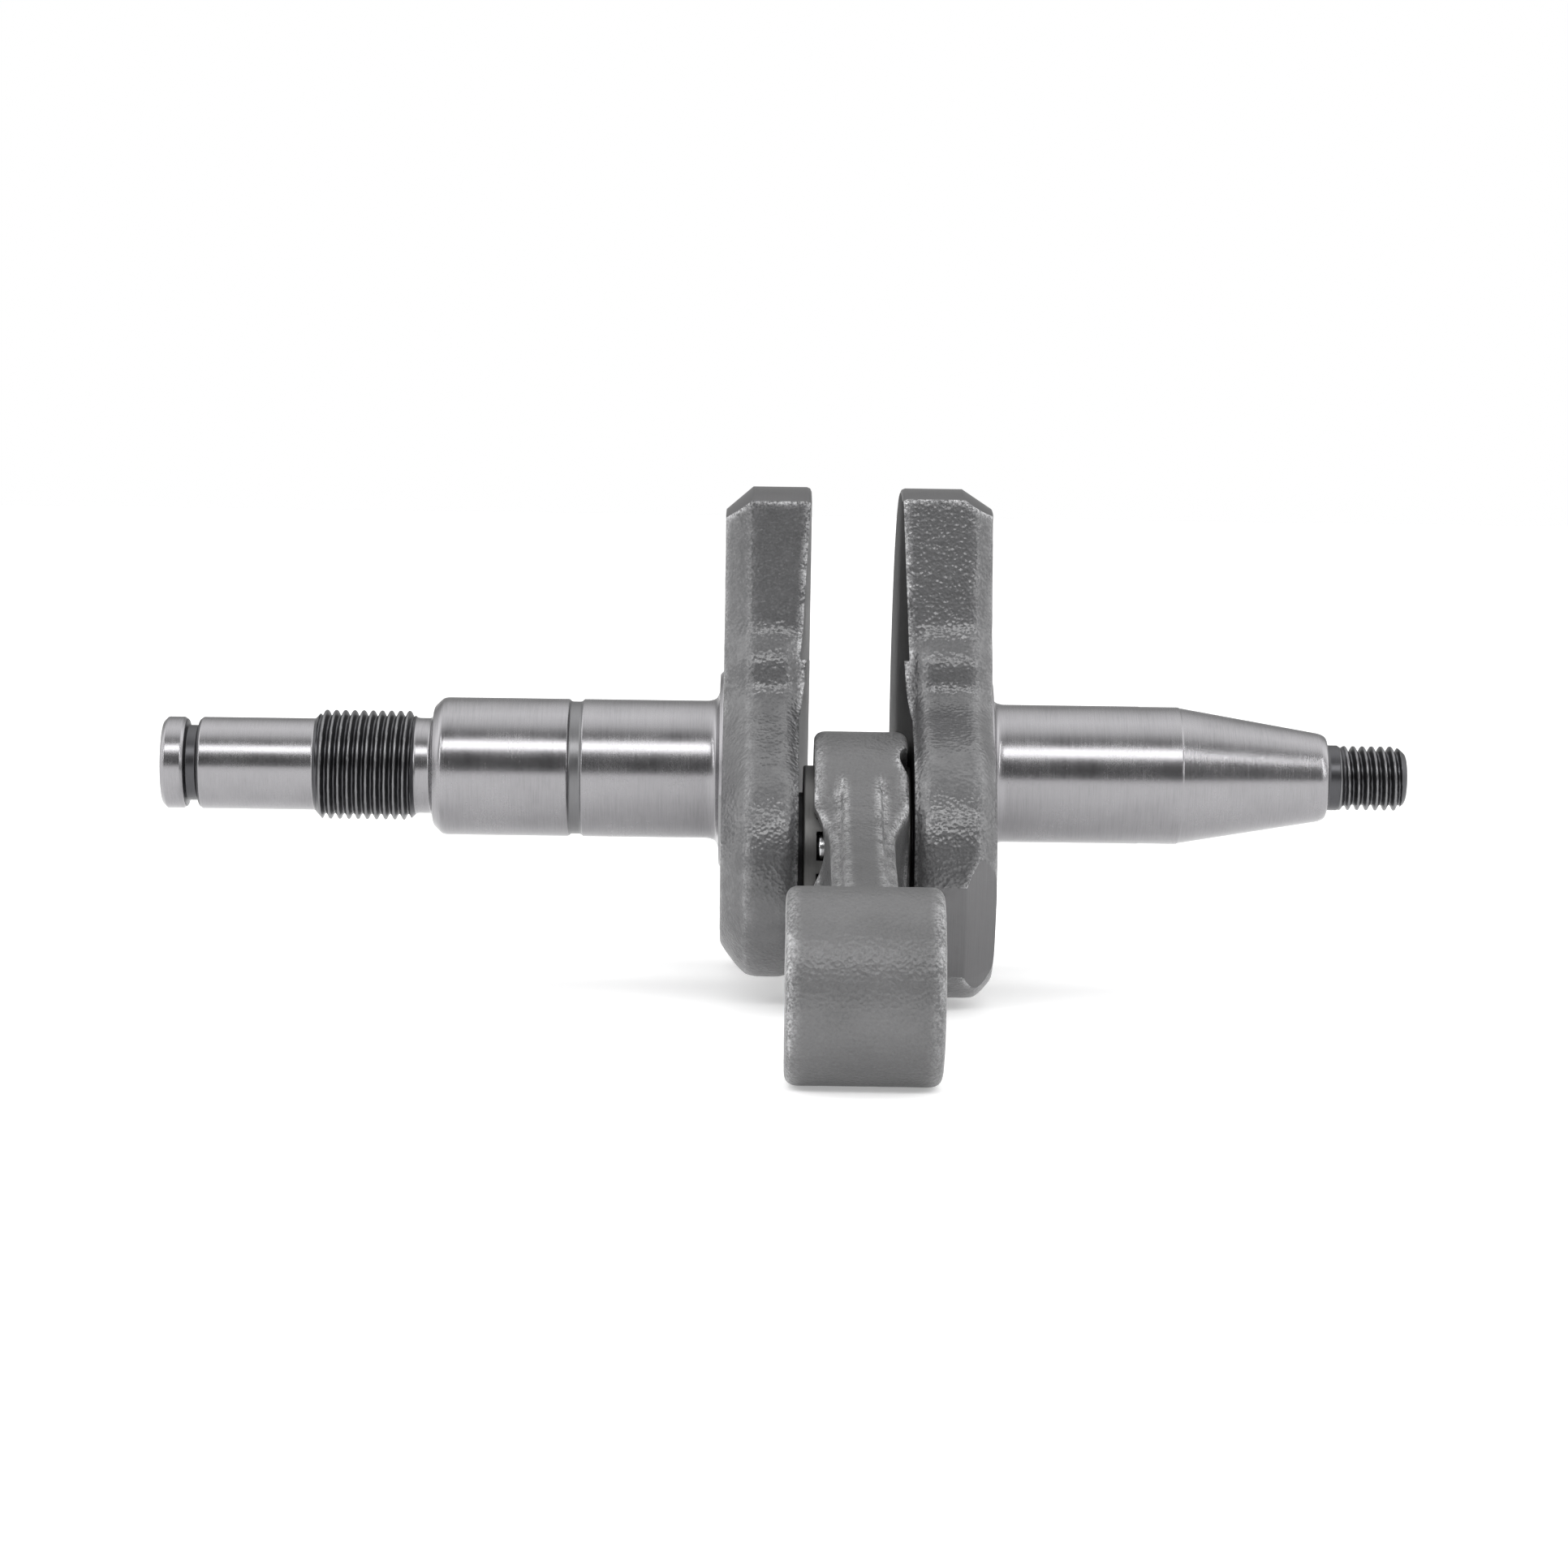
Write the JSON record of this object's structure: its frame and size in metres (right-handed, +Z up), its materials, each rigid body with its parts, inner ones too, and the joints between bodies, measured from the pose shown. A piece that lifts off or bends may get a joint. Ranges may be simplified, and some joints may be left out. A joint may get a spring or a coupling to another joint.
{
  "type": "two-stroke engine crankshaft with connecting rod",
  "caption": "Built-up crankshaft for a small two-stroke engine, with counterweighted webs, threaded shaft ends and a one-piece rod on a needle bearing.",
  "frame": {"origin": "centre of the clutch-end face, on the shaft's axis", "axes": "+X along the shaft to the flywheel end, +Z up as the crankshaft lies on a flat surface, rod towards -Y"},
  "size_m": [0.1352, 0.1168, 0.0545],
  "materials": {
    "forged_steel": "forged webs with turned and ground journals",
    "ground_steel": "hardened and ground",
    "rod_steel": "forged, bead blasted",
    "cage_steel": "machined, satin",
    "roller_steel": "ground and polished"
  },
  "bodies": {
    "crankshaft": {"clutch_side_crank": "forged_steel", "flywheel_side_crank": "forged_steel", "crank_pin": "ground_steel"},
    "connecting_rod": {"connecting_rod": "rod_steel"},
    "needle_cage": {"needle_cage": "cage_steel"},
    "needle_roller_01": {"needle_roller_01": "roller_steel"},
    "needle_roller_02": {"needle_roller_02": "roller_steel"},
    "needle_roller_03": {"needle_roller_03": "roller_steel"},
    "needle_roller_04": {"needle_roller_04": "roller_steel"},
    "needle_roller_05": {"needle_roller_05": "roller_steel"},
    "needle_roller_06": {"needle_roller_06": "roller_steel"},
    "needle_roller_07": {"needle_roller_07": "roller_steel"},
    "needle_roller_08": {"needle_roller_08": "roller_steel"},
    "needle_roller_09": {"needle_roller_09": "roller_steel"},
    "needle_roller_10": {"needle_roller_10": "roller_steel"},
    "needle_roller_11": {"needle_roller_11": "roller_steel"},
    "needle_roller_12": {"needle_roller_12": "roller_steel"},
    "needle_roller_13": {"needle_roller_13": "roller_steel"},
    "needle_roller_14": {"needle_roller_14": "roller_steel"}
  },
  "joints": [
    {"name": "rod_swing", "type": "hinge", "parent": "crankshaft", "child": "connecting_rod", "pos_m": [0.0755, -0.01487, -0.00824], "axis": [-1, 0, 0], "continuous": true},
    {"name": "cage_turn", "type": "hinge", "parent": "crankshaft", "child": "needle_cage", "pos_m": [0.07515, -0.01487, -0.00824], "axis": [-1, 0, 0], "continuous": true},
    {"name": "needle_roller_01_spin", "type": "hinge", "parent": "needle_cage", "child": "needle_roller_01", "pos_m": [0.07515, -0.02315, -0.00634], "axis": [-1, 0, 0], "continuous": true},
    {"name": "needle_roller_02_spin", "type": "hinge", "parent": "needle_cage", "child": "needle_roller_02", "pos_m": [0.07515, -0.02316, -0.01013], "axis": [-1, 0, 0], "continuous": true},
    {"name": "needle_roller_03_spin", "type": "hinge", "parent": "needle_cage", "child": "needle_roller_03", "pos_m": [0.07515, -0.02152, -0.01354], "axis": [-1, 0, 0], "continuous": true},
    {"name": "needle_roller_04_spin", "type": "hinge", "parent": "needle_cage", "child": "needle_roller_04", "pos_m": [0.07515, -0.01856, -0.0159], "axis": [-1, 0, 0], "continuous": true},
    {"name": "needle_roller_05_spin", "type": "hinge", "parent": "needle_cage", "child": "needle_roller_05", "pos_m": [0.07515, -0.01487, -0.01674], "axis": [-1, 0, 0], "continuous": true},
    {"name": "needle_roller_06_spin", "type": "hinge", "parent": "needle_cage", "child": "needle_roller_06", "pos_m": [0.07515, -0.01119, -0.0159], "axis": [-1, 0, 0], "continuous": true},
    {"name": "needle_roller_07_spin", "type": "hinge", "parent": "needle_cage", "child": "needle_roller_07", "pos_m": [0.07515, -0.00823, -0.01355], "axis": [-1, 0, 0], "continuous": true},
    {"name": "needle_roller_08_spin", "type": "hinge", "parent": "needle_cage", "child": "needle_roller_08", "pos_m": [0.07515, -0.00658, -0.01014], "axis": [-1, 0, 0], "continuous": true},
    {"name": "needle_roller_09_spin", "type": "hinge", "parent": "needle_cage", "child": "needle_roller_09", "pos_m": [0.07515, -0.00658, -0.00636], "axis": [-1, 0, 0], "continuous": true},
    {"name": "needle_roller_10_spin", "type": "hinge", "parent": "needle_cage", "child": "needle_roller_10", "pos_m": [0.07515, -0.00822, -0.00295], "axis": [-1, 0, 0], "continuous": true},
    {"name": "needle_roller_11_spin", "type": "hinge", "parent": "needle_cage", "child": "needle_roller_11", "pos_m": [0.07515, -0.01117, -0.00059], "axis": [-1, 0, 0], "continuous": true},
    {"name": "needle_roller_12_spin", "type": "hinge", "parent": "needle_cage", "child": "needle_roller_12", "pos_m": [0.07515, -0.01486, 0.00026], "axis": [-1, 0, 0], "continuous": true},
    {"name": "needle_roller_13_spin", "type": "hinge", "parent": "needle_cage", "child": "needle_roller_13", "pos_m": [0.07515, -0.01855, -0.00058], "axis": [-1, 0, 0], "continuous": true},
    {"name": "needle_roller_14_spin", "type": "hinge", "parent": "needle_cage", "child": "needle_roller_14", "pos_m": [0.07515, -0.02151, -0.00294], "axis": [-1, 0, 0], "continuous": true}
  ],
  "couplings": [
    {"joint": "cage_turn", "follows": "rod_swing", "ratio": 0.58823},
    {"joint": "needle_roller_01_spin", "follows": "rod_swing", "ratio": 2.7451},
    {"joint": "needle_roller_02_spin", "follows": "rod_swing", "ratio": 2.7451},
    {"joint": "needle_roller_03_spin", "follows": "rod_swing", "ratio": 2.7451},
    {"joint": "needle_roller_04_spin", "follows": "rod_swing", "ratio": 2.7451},
    {"joint": "needle_roller_05_spin", "follows": "rod_swing", "ratio": 2.7451},
    {"joint": "needle_roller_06_spin", "follows": "rod_swing", "ratio": 2.7451},
    {"joint": "needle_roller_07_spin", "follows": "rod_swing", "ratio": 2.7451},
    {"joint": "needle_roller_08_spin", "follows": "rod_swing", "ratio": 2.7451},
    {"joint": "needle_roller_09_spin", "follows": "rod_swing", "ratio": 2.7451},
    {"joint": "needle_roller_10_spin", "follows": "rod_swing", "ratio": 2.7451},
    {"joint": "needle_roller_11_spin", "follows": "rod_swing", "ratio": 2.7451},
    {"joint": "needle_roller_12_spin", "follows": "rod_swing", "ratio": 2.7451},
    {"joint": "needle_roller_13_spin", "follows": "rod_swing", "ratio": 2.7451},
    {"joint": "needle_roller_14_spin", "follows": "rod_swing", "ratio": 2.7451}
  ]
}
